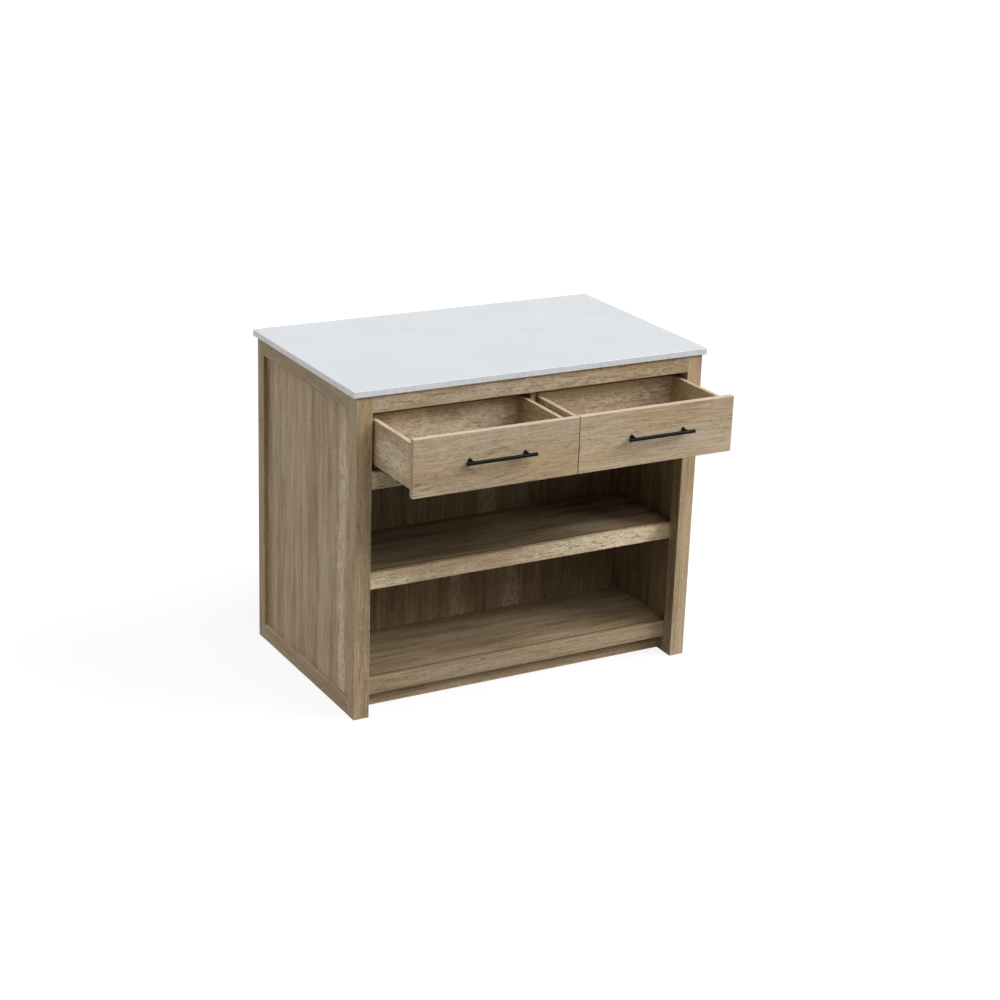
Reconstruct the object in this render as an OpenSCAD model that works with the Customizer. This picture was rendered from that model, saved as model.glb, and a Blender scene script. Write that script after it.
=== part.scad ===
// Kitchen island unit: a framed carcass with two open shelves, a knee space at the back,
// a stone worktop, and two inset drawers on concealed full-extension slides.
// x runs to the right, y from the drawers to the knee space, z up from the floor.

/* [Cabinet] */
// Width over the front posts
cabinet_w = 1050; // [960:10:1200]
// Depth over the front posts and the rear stiles
cabinet_d = 636; // [600:1:700]
// Height from the floor to the top of the worktop
total_h = 914; // [870:1:940]
// Width of a post or stile, seen from the front
post_w = 45; // [40:1:60]
// Depth of a post or stile, seen from the side
post_d = 40; // [36:1:50]
// Height of the rails, and of the boards along the shelves' front edges
rail_h = 46; // [42:1:55]
// Thickness of the shelves, the deck, the back panel and the front and rear rails
board_t = 18; // [16:1:20]
// Thickness of the side panels
panel_t = 18; // [15:1:20]
// How far the side panels lie in from the outer faces of the posts
panel_inset = 10; // [6:1:12]
// Depth of the grooves that hold the side panels
groove_deep = 8; // [6:1:10]
// Distance from the front plane to the back panel
shelf_d = 331; // [320:1:380]
// Height of the mid shelf's top above the floor
mid_shelf_top = 395; // [300:5:450]
// Distance from the front plane to the toe kick
kick_set_back = 70; // [60:1:90]
// Thickness of the toe kick
kick_t = 15; // [12:1:18]
// Bevel along the edges of the boards
edge_ease = 0.8; // [0.4:0.1:1.5]

/* [Worktop] */
// Thickness of the stone
top_t = 18; // [15:1:30]
// How far the stone stands out at each side
top_side = 11; // [5:1:20]
// How far the stone stands out at the front
top_front = 6; // [3:1:15]
// How far the stone stands out at the back
top_back = 8; // [3:1:20]
// Radius of the stone's rounded edges
top_round = 2; // [1:0.5:4]

/* [Drawers] */
// Clear height of the drawer openings
opening_h = 160; // [150:1:180]
// Thickness of the divider between the drawers
divider_t = 15; // [15:1:20]
// Thickness of a drawer front
front_t = 17.5; // [16:0.5:18]
// Gap beside and between the drawer fronts
front_side_gap = 3; // [2:0.5:4]
// Gap below a drawer front
front_low_gap = 2; // [2:0.5:4]
// Gap above a drawer front
front_high_gap = 4; // [2:0.5:6]
// Height of a drawer box
box_h = 120; // [100:1:128]
// Thickness of the sides and the back of a drawer box
box_t = 12; // [12:0.5:15]
// Gap between a drawer box and each wall of its bay
box_side_gap = 7; // [6.5:0.5:9]
// Height of a box side's lower edge above the deck
box_lift = 20; // [18:1:24]
// Thickness of a drawer's bottom
bottom_t = 9; // [9:0.5:12]
// Height of the bottom's underside above the lower edges of the box
bottom_rise = 12.5; // [12:0.5:15]
// Depth of the grooves in a drawer's boards
box_groove = 6; // [4:0.5:7]
// How far both drawers stand open in this pose
drawer_open = 225; // [0:5:225]

/* [Handles] */
// Diameter of the round bar
bar_d = 10; // [9:0.5:14]
// Length of the bar
bar_l = 203; // [190:1:260]
// Distance from the drawer front to the bar's axis
handle_reach = 25; // [22:1:35]
// Distance between the two handle posts
handle_pitch = 160; // [128:1:160]
// Diameter of a handle post
handle_post_d = 8; // [7:0.5:8]
// Height of the bar above the middle of its drawer front
handle_rise = 4; // [0:1:10]

/* [Slides] */
// Nominal length of a slide
slide_l = 270; // [265:1:290]
// Full travel of a drawer
slide_travel = 250; // [225:5:250]
// Thickness of the slides' sheet steel
steel_t = 1.5; // [1.2:0.1:1.8]
// Width over a drawer member
member_w = 25; // [24:0.5:28]
// Diameter of the rollers
roller_d = 4; // [3.5:0.1:4.5]
// Rollers in each cage
rollers = 4; // [3:1:5]
// Height of a cabinet member's flange
flange_h = 34; // [30:1:40]

/* [Fasteners] */
// Diameter of the wooden dowels
dowel_d = 8; // [6:0.5:8]
// Length of the wooden dowels
dowel_l = 30; // [25:1:35]
// How far a dowel goes into the piece that another piece butts against
dowel_in = 10; // [8:1:12]
// Diameter of the slide and clip screws
screw_d = 3.5; // [3:0.1:4]
// Diameter of their pan heads
screw_head_d = 7; // [6:0.5:8]
// Height of their pan heads
screw_head_h = 2; // [1.5:0.1:2.5]
// How far these screws bite into the board behind
screw_bite = 6.5; // [5:0.1:7]
// Diameter of the handle screws
bolt_d = 4; // [3.5:0.1:4]

/* [Hidden] */

wood = "burlywood";
dark_wood = "tan";
box_wood = "bisque";
stone = "whitesmoke";
black = "dimgray";
zinc = "silver";
polymer = "slategray";

left = -1;
right = 1;

// clearances
groove_fit = 0.2;      // each side of a panel in its groove
dowel_fit = 0.1;       // round a dowel in its hole
dowel_spare = 1;       // hole left past a dowel's free end
screw_fit = 0.05;      // round a screw in its hole
bolt_fit = 0.25;       // round a handle screw in the drawer front
post_fit = 0.1;        // round a handle post in the bar
member_fit = 0.75;     // between a box side and the drawer member beside it
roller_fit = 0.3;      // above and below each roller
lip_gap = 1;           // between a member's lip and the flange that it holds
cage_fit = 0.3;        // before and behind each roller in its cage
cage_margin = 5;       // cage to the ends of its members at full travel
hook_fit = 0.5;        // round the hook pin in the drawer back
tongue_fit = 0.3;      // round a clip's tongue in the drawer member

// smoothness of round stretches
round_fn = 32;
roller_fn = 20;

// carcass levels and planes, for the left half, where x is negative
cabinet_h = total_h - top_t;
half_w = cabinet_w / 2;
post_in = half_w - post_w;
panel_out = half_w - panel_inset;
panel_in = panel_out - panel_t;
stile_y = cabinet_d - post_d;
top_rail_z = cabinet_h - rail_h;
deck_top = top_rail_z - opening_h;
under_rail_z = deck_top - rail_h;
bottom_shelf_top = 2 * rail_h;
shelf_y = post_d + board_t;

// the whole thing is centred on its box, which the handles lengthen
handle_front = -drawer_open - handle_reach - bar_d / 2;
centre_y = (cabinet_d + top_back + handle_front) / 2;

// dowel places
dowel_y_inset = 40;
shelf_dowel_y = [shelf_y + dowel_y_inset, (shelf_y + shelf_d) / 2, shelf_d - dowel_y_inset];
rail_solid = rail_h - groove_deep;
rail_dowel_rise = [rail_solid / 4, rail_solid * 3 / 4];
front_dowel_rise = [rail_h / 4, rail_h * 3 / 4];
back_dowels = 4;

// drawers, drawn closed for the left bay
bay_in = divider_t / 2;
front_x = [-post_in + front_side_gap, -front_side_gap / 2];
front_z = [deck_top + front_low_gap, top_rail_z - front_high_gap];
front_mid_x = (front_x[0] + front_x[1]) / 2;
box_x = [-post_in + box_side_gap, -bay_in - box_side_gap];
box_z = [deck_top + box_lift, deck_top + box_lift + box_h];
bottom_z = box_z[0] + bottom_rise;
slide_y = board_t + 1;
member_short = 5.5;
member_l = slide_l - member_short;
box_end = slide_y + member_l;
handle_z = (front_z[0] + front_z[1]) / 2 + handle_rise;
bar_socket = 3;
bolt_bite = 12;
bolt_head_h = 2.5;

// slide section: across from the slide's middle, up from the deck
slide_mid = box_side_gap + box_t + member_fit + member_w / 2;
roller_space = roller_d + 2 * roller_fit;
member_top = box_lift + bottom_rise;
mid_flange = 4.5;
mid_base_z = steel_t + roller_space;
mid_top_z = member_top - steel_t - roller_space;
channel_top = mid_base_z + mid_flange + lip_gap + steel_t;
member_low = mid_top_z - mid_flange - lip_gap - steel_t;
flange_gap = 1.5;
mid_head_w = member_w - 2 * steel_t - 2 * flange_gap;
mid_base_w = member_w + 1;
channel_w = mid_base_w + 2 * flange_gap + 2 * steel_t;
lip_w = 5;
web_t = 2 * steel_t;

// slide members along y, drawer closed
mid_set_back = 10;
mid_l = slide_l - 2 * mid_set_back;
mid_y = slide_y + mid_set_back;
lower_cage_l = mid_set_back + mid_l - slide_travel / 2 - 2 * cage_margin;
upper_cage_l = member_l - mid_set_back - slide_travel / 2 - 2 * cage_margin;
lower_cage_y = slide_y + slide_travel / 4 + cage_margin;
upper_cage_y = mid_y + slide_travel / 4 + cage_margin;
cage_t = 1.6;
cage_end = 15;
cage_rim = 2.5;
cage_lip = 2;
packer_h = 60;
screw_first = 37;
screw_pitch = 96;
screw_y = [for (i = [0 : 2]) slide_y + screw_first + i * screw_pitch];
screw_rise = 24;
slot_y = [for (i = [0 : 1], part = [1, 3]) screw_y[i] + part * screw_pitch / 4];
slot_l = 14;
slot_d = 5;
web_holes = 6;
web_hole_d = 7;

// hook at the back of a drawer member
hook_w = 8;
hook_d = 5;
hook_in = 8;
hook_rise = member_top + bottom_t + 5;

// locking clip in front, beside each drawer member
clip_w = 20;
clip_l = 46;
clip_h = 10;
clip_lever = 18;
clip_step = 2;
lever_w = 10;
tongue_y = front_t + 14;
tongue_in = 0.5;
tongue_l = 6;
tongue_h = 3;
clip_screw_y = [front_t + 9, front_t + 34];
clip_bore_rise = 4;

// ---------- helpers ----------

// moves the parts from the cabinet's front plane to the middle of the whole box
module in_place() {
    translate([0, -centre_y, 0]) children();
}

// draws the left half's piece there, or mirrors it to the right
module on_side(side) {
    if (side == left) children();
    else mirror([1, 0, 0]) children();
}

module both_sides() {
    children();
    mirror([1, 0, 0]) children();
}

module block(xs, ys, zs) {
    translate([xs[0], ys[0], zs[0]])
        cube([xs[1] - xs[0], ys[1] - ys[0], zs[1] - zs[0]]);
}

// rectangle with its corners cut back
module eased_rect(a, b) {
    e = edge_ease;
    polygon([[e, 0], [a - e, 0], [a, e], [a, b - e], [a - e, b], [e, b], [0, b - e], [0, e]]);
}

module board_x(xs, ys, zs) {
    translate([xs[0], ys[0], zs[0]]) rotate([90, 0, 90])
        linear_extrude(xs[1] - xs[0]) eased_rect(ys[1] - ys[0], zs[1] - zs[0]);
}

module board_y(xs, ys, zs) {
    translate([xs[0], ys[1], zs[0]]) rotate([90, 0, 0])
        linear_extrude(ys[1] - ys[0]) eased_rect(xs[1] - xs[0], zs[1] - zs[0]);
}

module board_z(xs, ys, zs) {
    translate([xs[0], ys[0], zs[0]])
        linear_extrude(zs[1] - zs[0]) eased_rect(xs[1] - xs[0], ys[1] - ys[0]);
}

// rectangle with round corners
module round_rect(a, b, r) {
    translate([r, 0]) square([a - 2 * r, b]);
    translate([0, r]) square([a, b - 2 * r]);
    for (x = [r, a - r], y = [r, b - r]) translate([x, y]) circle(r, $fn = round_fn);
}

// turns a cylinder's axis from z to the given direction
module aim(dir) {
    rotate([0, acos(dir[2]), atan2(dir[1], dir[0])]) children();
}

// ---------- dowels ----------
// each place is [point on the joint's face, direction into the piece that is butted against]

side_frame_places = concat(
    [for (r = rail_dowel_rise) [[-half_w + post_w / 2, post_d, cabinet_h - r], [0, -1, 0]]],
    [for (r = rail_dowel_rise) [[-half_w + post_w / 2, post_d, r], [0, -1, 0]]],
    [for (r = rail_dowel_rise) [[-half_w + post_w / 2, stile_y, cabinet_h - r], [0, 1, 0]]],
    [for (r = rail_dowel_rise) [[-half_w + post_w / 2, stile_y, r], [0, 1, 0]]]
);

function cross_rail_places(y, z) =
    [for (r = front_dowel_rise) [[-post_in, y + board_t / 2, z + r], [-1, 0, 0]]];

front_rail_places = concat(cross_rail_places(0, top_rail_z), cross_rail_places(0, under_rail_z));
rear_rail_y = cabinet_d - board_t;
rear_rail_places = cross_rail_places(rear_rail_y, top_rail_z);

function shelf_places(top) =
    [for (y = shelf_dowel_y) [[-panel_in, y, top - board_t / 2], [-1, 0, 0]]];

back_span = top_rail_z - rail_h;
back_places = [
    for (i = [0 : back_dowels - 1])
        [[-panel_in, shelf_d + board_t / 2, rail_h + back_span * (i + 0.5) / back_dowels], [-1, 0, 0]]
];

divider_places = [for (y = shelf_dowel_y) [[0, y, deck_top], [0, 0, -1]]];

module dowel_rods(places) {
    for (p = places)
        translate(p[0]) aim(p[1]) translate([0, 0, dowel_in - dowel_l])
            cylinder(d = dowel_d, h = dowel_l, $fn = round_fn);
}

module dowel_holes(places) {
    for (p = places)
        translate(p[0]) aim(p[1]) translate([0, 0, dowel_in - dowel_l - dowel_spare])
            cylinder(d = dowel_d + 2 * dowel_fit, h = dowel_l + dowel_spare, $fn = round_fn);
}

module frame_dowels() {
    in_place() color(box_wood) {
        both_sides() {
            dowel_rods(side_frame_places);
            dowel_rods(front_rail_places);
            dowel_rods(rear_rail_places);
            dowel_rods(shelf_places(mid_shelf_top));
            dowel_rods(shelf_places(bottom_shelf_top));
            dowel_rods(shelf_places(deck_top));
            dowel_rods(back_places);
        }
        dowel_rods(divider_places);
    }
}

// ---------- worktop ----------

module worktop() {
    l = cabinet_w + 2 * top_side;
    d = cabinet_d + top_front + top_back;
    in_place() color(stone) translate([-l / 2, -top_front, cabinet_h]) intersection() {
        linear_extrude(top_t) round_rect(l, d, top_round);
        rotate([90, 0, 90]) linear_extrude(l) round_rect(d, top_t, top_round);
        translate([0, d, 0]) rotate([90, 0, 0]) linear_extrude(d) round_rect(l, top_t, top_round);
    }
}

// ---------- side frames ----------

// the space that a side panel's edges take in the frame round it
module panel_groove() {
    block([-panel_out - groove_fit, -panel_in + groove_fit],
          [post_d - groove_deep, stile_y + groove_deep],
          [rail_h - groove_deep, top_rail_z + groove_deep]);
}

module front_post(side) {
    in_place() color(wood) on_side(side) difference() {
        board_z([-half_w, -post_in], [0, post_d], [0, cabinet_h]);
        panel_groove();
        dowel_holes(side_frame_places);
        dowel_holes(front_rail_places);
    }
}

module rear_stile(side) {
    in_place() color(wood) on_side(side) difference() {
        board_z([-half_w, -post_in], [stile_y, cabinet_d], [0, cabinet_h]);
        panel_groove();
        dowel_holes(side_frame_places);
        dowel_holes(rear_rail_places);
    }
}

module side_rail(side, z) {
    in_place() color(wood) on_side(side) difference() {
        board_y([-half_w, -post_in], [post_d, stile_y], [z, z + rail_h]);
        panel_groove();
        dowel_holes(side_frame_places);
    }
}

// stands on the lower groove's floor, with room in the other three grooves
module side_panel(side) {
    in_place() color(wood) on_side(side) difference() {
        block([-panel_out, -panel_in],
              [post_d - groove_deep + groove_fit, stile_y + groove_deep - groove_fit],
              [rail_h - groove_deep, top_rail_z + groove_deep - groove_fit]);
        dowel_holes(shelf_places(mid_shelf_top));
        dowel_holes(shelf_places(bottom_shelf_top));
        dowel_holes(shelf_places(deck_top));
        dowel_holes(back_places);
    }
}

// ---------- cross rails, shelves and panels ----------

module cross_rail(y, z, places) {
    in_place() color(wood) difference() {
        board_x([-post_in, post_in], [y, y + board_t], [z, z + rail_h]);
        both_sides() dowel_holes(places);
    }
}

module drawer_divider() {
    in_place() color(wood) difference() {
        board_y([-bay_in, bay_in], [board_t, shelf_d], [deck_top, cabinet_h]);
        dowel_holes(divider_places);
        both_sides() slide_screw_holes(-bay_in, -1);
    }
}

// the deck reaches past the posts' inner faces behind them
module drawer_deck() {
    in_place() color(dark_wood) difference() {
        union() {
            block([-post_in, post_in], [board_t, shelf_d], [deck_top - board_t, deck_top]);
            block([-panel_in, panel_in], [post_d, shelf_d], [deck_top - board_t, deck_top]);
        }
        both_sides() dowel_holes(shelf_places(deck_top));
        dowel_holes(divider_places);
    }
}

module shelf(top) {
    in_place() color(dark_wood) difference() {
        block([-panel_in, panel_in], [shelf_y, shelf_d], [top - board_t, top]);
        both_sides() dowel_holes(shelf_places(top));
    }
}

module shelf_front(top) {
    in_place() color(wood)
        board_x([-panel_in, panel_in], [post_d, shelf_y], [top - rail_h, top]);
}

module toe_kick() {
    in_place() color(dark_wood)
        block([-post_in, post_in], [kick_set_back, kick_set_back + kick_t],
              [0, bottom_shelf_top - board_t]);
}

// notched round the four side rails
module back_panel() {
    in_place() color(wood) difference() {
        union() {
            block([-panel_in, panel_in], [shelf_d, shelf_d + board_t], [rail_h, top_rail_z]);
            block([-post_in, post_in], [shelf_d, shelf_d + board_t], [0, cabinet_h]);
        }
        both_sides() dowel_holes(back_places);
    }
}

// brings the side panel's face level with the post for the outer slide
module slide_packer(side) {
    in_place() color(box_wood) on_side(side) difference() {
        board_y([-panel_in, -post_in], [post_d, shelf_d], [deck_top, deck_top + packer_h]);
        slide_screw_holes(-post_in, 1);
    }
}

// ---------- slides ----------

// draws a slide part at both walls of a bay; its own x runs from the slide's middle to the box's
module at_both_slides(side, moved) {
    in_place() on_side(side) translate([0, -moved, deck_top]) {
        translate([-post_in + slide_mid, 0, 0]) children();
        translate([-bay_in - slide_mid, 0, 0]) mirror([1, 0, 0]) children();
    }
}

module strip(us, ws) {
    translate([us[0], ws[0]]) square([us[1] - us[0], ws[1] - ws[0]]);
}

// a strip and its mirror image
module strip_pair(us, ws) {
    strip(us, ws);
    mirror([1, 0]) strip(us, ws);
}

// extrudes a section along y
module run_y(y, l) {
    translate([0, y + l, 0]) rotate([90, 0, 0]) linear_extrude(l) children();
}

module round_slot(y, w, l, d) {
    for (s = [-1, 1]) translate([0, y + s * (l - d) / 2, w]) rotate([0, 90, 0])
        cylinder(d = d, h = 3 * steel_t, center = true, $fn = round_fn);
    block([-1.5 * steel_t, 1.5 * steel_t], [y - (l - d) / 2, y + (l - d) / 2],
          [w - d / 2, w + d / 2]);
}

// channel on the deck with a flange up the wall
module cabinet_members(side) {
    half = channel_w / 2;
    color(zinc) at_both_slides(side, 0) difference() {
        run_y(slide_y, slide_l) {
            strip([-slide_mid, half], [0, steel_t]);
            strip([-slide_mid, -slide_mid + steel_t], [0, flange_h]);
            strip_pair([half - steel_t, half], [0, channel_top]);
            strip_pair([half - lip_w, half], [channel_top - steel_t, channel_top]);
        }
        for (y = screw_y) translate([-slide_mid, y, screw_rise]) rotate([0, 90, 0])
            cylinder(d = screw_d + 2 * screw_fit, h = 3 * steel_t, center = true, $fn = round_fn);
        for (y = slot_y) translate([-slide_mid, 0, 0]) round_slot(y, screw_rise, slot_l, slot_d);
    }
}

// a base held by the channel, a web, and a head that carries the drawer member
module middle_members(side) {
    base = mid_base_w / 2;
    head = mid_head_w / 2;
    color(zinc) at_both_slides(side, drawer_open / 2) difference() {
        run_y(mid_y, mid_l) {
            strip([-base, base], [mid_base_z, mid_base_z + steel_t]);
            strip_pair([base - steel_t, base], [mid_base_z, mid_base_z + mid_flange]);
            strip([-web_t / 2, web_t / 2], [mid_base_z, mid_top_z]);
            strip([-head, head], [mid_top_z - steel_t, mid_top_z]);
            strip_pair([head - steel_t, head], [mid_top_z - mid_flange, mid_top_z]);
        }
        for (i = [1 : web_holes])
            translate([0, mid_y + i * mid_l / (web_holes + 1), (mid_base_z + mid_top_z) / 2])
                rotate([0, 90, 0])
                    cylinder(d = web_hole_d, h = 2 * web_t, center = true, $fn = round_fn);
    }
}

// cap below the drawer's bottom, with a slot for the clip's tongue and a hook behind the back
module drawer_members(side) {
    half = member_w / 2;
    color(zinc) at_both_slides(side, drawer_open) {
        difference() {
            run_y(slide_y, member_l) {
                strip([-half, half], [member_top - steel_t, member_top]);
                strip_pair([half - steel_t, half], [member_low, member_top]);
                strip_pair([half - lip_w, half], [member_low, member_low + steel_t]);
            }
            block([half - 2 * steel_t, half + steel_t],
                  [tongue_y - tongue_fit, tongue_y + tongue_l + tongue_fit],
                  [member_top - clip_h / 2 - tongue_h / 2 - tongue_fit,
                   member_top - clip_h / 2 + tongue_h / 2 + tongue_fit]);
        }
        block([-hook_w / 2, hook_w / 2], [box_end, box_end + steel_t],
              [member_top - 2 * steel_t, hook_rise + hook_w / 2]);
        block([-hook_w / 2, hook_w / 2], [box_end - steel_t, box_end + steel_t],
              [member_top - steel_t, member_top]);
        translate([0, box_end - hook_in, hook_rise]) rotate([-90, 0, 0])
            cylinder(d = hook_d, h = hook_in, $fn = round_fn);
    }
}

function roller_pitch(l) = (l - 2 * cage_end) / (rollers - 1);

// plate with a window for each roller and a turned-up end
module cage(y, l, w, low) {
    mid = low + roller_space / 2;
    reach = w / 2 - cage_rim;
    difference() {
        union() {
            block([-w / 2, w / 2], [y, y + l], [mid - cage_t / 2, mid + cage_t / 2]);
            for (e = [y, y + l - cage_lip])
                block([-w / 2, w / 2], [e, e + cage_lip],
                      [low + 2 * roller_fit, low + roller_space - 2 * roller_fit]);
        }
        for (i = [0 : rollers - 1]) {
            c = y + cage_end + i * roller_pitch(l);
            block([-reach, reach], [c - roller_d / 2 - cage_fit, c + roller_d / 2 + cage_fit],
                  [low, low + roller_space]);
        }
    }
}

module roller_set(y, l, w, low) {
    reach = w / 2 - cage_rim;
    for (i = [0 : rollers - 1])
        translate([-reach, y + cage_end + i * roller_pitch(l), low + roller_space / 2])
            rotate([0, 90, 0]) cylinder(d = roller_d, h = 2 * reach, $fn = roller_fn);
}

lower_cage_w = mid_base_w - 2;
upper_cage_w = mid_head_w - 2;

module lower_cages(side) {
    color(polymer) at_both_slides(side, drawer_open / 4)
        cage(lower_cage_y, lower_cage_l, lower_cage_w, steel_t);
}

module lower_rollers(side) {
    color(zinc) at_both_slides(side, drawer_open / 4)
        roller_set(lower_cage_y, lower_cage_l, lower_cage_w, steel_t);
}

module upper_cages(side) {
    color(polymer) at_both_slides(side, drawer_open * 3 / 4)
        cage(upper_cage_y, upper_cage_l, upper_cage_w, mid_top_z);
}

module upper_rollers(side) {
    color(zinc) at_both_slides(side, drawer_open * 3 / 4)
        roller_set(upper_cage_y, upper_cage_l, upper_cage_w, mid_top_z);
}

// clip body under the bottom, its finger lever and the tongue in the drawer member
module slide_clips(side) {
    at = member_w / 2;
    mid = at + clip_w / 2;
    end = front_t + clip_l;
    low = member_top - clip_h;
    color(polymer) at_both_slides(side, drawer_open) difference() {
        union() {
            block([at, at + clip_w], [front_t, end], [low, member_top]);
            translate([mid, end, low + clip_step])
                cylinder(d = clip_w, h = clip_h - 2 * clip_step, $fn = round_fn);
            block([mid - lever_w / 2, mid + lever_w / 2], [end, end + clip_lever],
                  [low + clip_step, low + 2 * clip_step]);
            translate([mid, end + clip_lever, low + clip_step])
                cylinder(d = lever_w, h = clip_step, $fn = round_fn);
            block([at - steel_t - tongue_in, at + 1], [tongue_y, tongue_y + tongue_l],
                  [member_top - clip_h / 2 - tongue_h / 2, member_top - clip_h / 2 + tongue_h / 2]);
        }
        clip_screw_bores(mid, low);
    }
}

module clip_screw_bores(u, low) {
    for (y = clip_screw_y) translate([u, y, low - 1]) {
        cylinder(d = screw_d + 2 * screw_fit, h = clip_h + 2, $fn = round_fn);
        cylinder(d = screw_head_d + 0.6, h = 1 + clip_bore_rise, $fn = round_fn);
    }
}

// ---------- screws ----------

// pan head with a cross recess, shank along +z from the head's seat at z = 0
module pan_screw(d, head_d, head_h, shank) {
    difference() {
        union() {
            cylinder(d = d, h = shank, $fn = round_fn);
            translate([0, 0, -head_h]) cylinder(d = head_d, h = head_h, $fn = round_fn);
        }
        for (a = [0, 90]) rotate([0, 0, a])
            translate([-head_d * 0.3, -head_d * 0.07, -head_h - 1])
                cube([head_d * 0.6, head_d * 0.14, 1 + head_h * 0.6]);
    }
}

// drawn with x running from a bay's wall into the bay, the way that into is signed
module slide_screw_holes(wall, into) {
    for (y = screw_y) translate([wall, y, deck_top + screw_rise]) rotate([0, -90 * into, 0])
        translate([0, 0, -1])
            cylinder(d = screw_d + 2 * screw_fit, h = screw_bite + 1, $fn = round_fn);
}

module slide_screws() {
    color(zinc) for (s = [left, right]) at_both_slides(s, 0)
        for (y = screw_y) translate([-slide_mid + steel_t, y, screw_rise]) rotate([0, -90, 0])
            pan_screw(screw_d, screw_head_d, screw_head_h, steel_t + screw_bite);
}

module clip_screws(side) {
    color(zinc) at_both_slides(side, drawer_open)
        for (y = clip_screw_y)
            translate([member_w / 2 + clip_w / 2, y, member_top - clip_h + clip_bore_rise])
                pan_screw(screw_d, screw_head_d, screw_head_h, clip_h - clip_bore_rise + screw_bite);
}

// ---------- drawers ----------

// moves a piece of the closed left drawer to its open place, on either side
module drawer_place(side) {
    in_place() on_side(side) translate([0, -drawer_open, 0]) children();
}

// the space that a drawer's bottom takes in the boards round it
module bottom_groove() {
    block([box_x[0] + box_t - box_groove, box_x[1] - box_t + box_groove],
          [front_t - box_groove, box_end - box_t + box_groove],
          [bottom_z, bottom_z + bottom_t + groove_fit]);
}

// the spaces that the box sides' ends take in the drawer front
module side_housings() {
    for (x = [box_x[0], box_x[1] - box_t])
        block([x - groove_fit, x + box_t + groove_fit], [front_t - box_groove, front_t + 1],
              [box_z[0] - groove_fit, box_z[1] + groove_fit]);
}

module drawer_front(side) {
    drawer_place(side) color(wood) difference() {
        board_x(front_x, [0, front_t], front_z);
        side_housings();
        bottom_groove();
        for (x = [-1, 1]) translate([front_mid_x + x * handle_pitch / 2, -1, handle_z])
            rotate([-90, 0, 0]) cylinder(d = bolt_d + 2 * bolt_fit, h = front_t + 2, $fn = round_fn);
    }
}

module box_side(side, x) {
    drawer_place(side) color(box_wood) difference() {
        board_y([x, x + box_t], [front_t - box_groove, box_end], box_z);
        bottom_groove();
        back_housing();
    }
}

// the drawer back's ends are let into the sides by a third of their thickness
module back_housing() {
    block([box_x[0] + box_t * 2 / 3, box_x[1] - box_t * 2 / 3],
          [box_end - box_t - groove_fit, box_end + 1], [box_z[0] - 1, box_z[1] + 1]);
}

// notched for the drawer members and bored for their hooks
module drawer_back(side) {
    drawer_place(side) color(box_wood) difference() {
        board_x([box_x[0] + box_t * 2 / 3 + groove_fit, box_x[1] - box_t * 2 / 3 - groove_fit],
                [box_end - box_t, box_end], box_z);
        bottom_groove();
        for (x = [-post_in + slide_mid, -bay_in - slide_mid]) {
            block([x - member_w, x + member_w], [box_end - box_t - 1, box_end + 1],
                  [box_z[0] - 1, bottom_z]);
            translate([x, box_end - box_t - 1, deck_top + hook_rise]) rotate([-90, 0, 0])
                cylinder(d = hook_d + 2 * hook_fit, h = box_t + 2, $fn = round_fn);
        }
    }
}

module drawer_bottom(side) {
    drawer_place(side) color(box_wood) difference() {
        block([box_x[0] + box_t - box_groove + groove_fit, box_x[1] - box_t + box_groove - groove_fit],
              [front_t - box_groove + groove_fit, box_end - box_t + box_groove - groove_fit],
              [bottom_z, bottom_z + bottom_t]);
        for (u = [-post_in + slide_mid + member_w / 2 + clip_w / 2,
                  -bay_in - slide_mid - member_w / 2 - clip_w / 2], y = clip_screw_y)
            translate([u, y, bottom_z - 1])
                cylinder(d = screw_d + 2 * screw_fit, h = screw_bite + 1, $fn = round_fn);
    }
}

// ---------- handles ----------

module handle_bar(side) {
    chamfer = 0.8;
    r = bar_d / 2;
    drawer_place(side) color(black) difference() {
        translate([front_mid_x - bar_l / 2, -handle_reach, handle_z]) rotate([0, 90, 0])
            rotate_extrude($fn = round_fn)
                polygon([[0, 0], [r - chamfer, 0], [r, chamfer], [r, bar_l - chamfer],
                         [r - chamfer, bar_l], [0, bar_l]]);
        for (x = [-1, 1])
            translate([front_mid_x + x * handle_pitch / 2, -handle_reach + r - bar_socket, handle_z])
                rotate([-90, 0, 0])
                    cylinder(d = handle_post_d + 2 * post_fit, h = bar_d, $fn = round_fn);
    }
}

// turned posts, flared where they stand on the drawer front
module handle_posts(side) {
    r = handle_post_d / 2;
    l = handle_reach - bar_d / 2 + bar_socket;
    foot = 2;
    foot_h = 1.5;
    neck_h = 5;
    drawer_place(side) color(black)
        for (x = [-1, 1]) translate([front_mid_x + x * handle_pitch / 2, 0, handle_z])
            rotate([90, 0, 0]) difference() {
                rotate_extrude($fn = round_fn)
                    polygon([[0, 0], [r + foot, 0], [r + foot, foot_h], [r, neck_h], [r, l], [0, l]]);
                translate([0, 0, -1])
                    cylinder(d = bolt_d + 2 * screw_fit, h = bolt_bite + 2, $fn = round_fn);
            }
}

module handle_screws(side) {
    drawer_place(side) color(zinc)
        for (x = [-1, 1]) translate([front_mid_x + x * handle_pitch / 2, front_t, handle_z])
            rotate([90, 0, 0]) pan_screw(bolt_d, 2 * bolt_d, bolt_head_h, front_t + bolt_bite);
}

// ---------- the unit ----------

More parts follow.
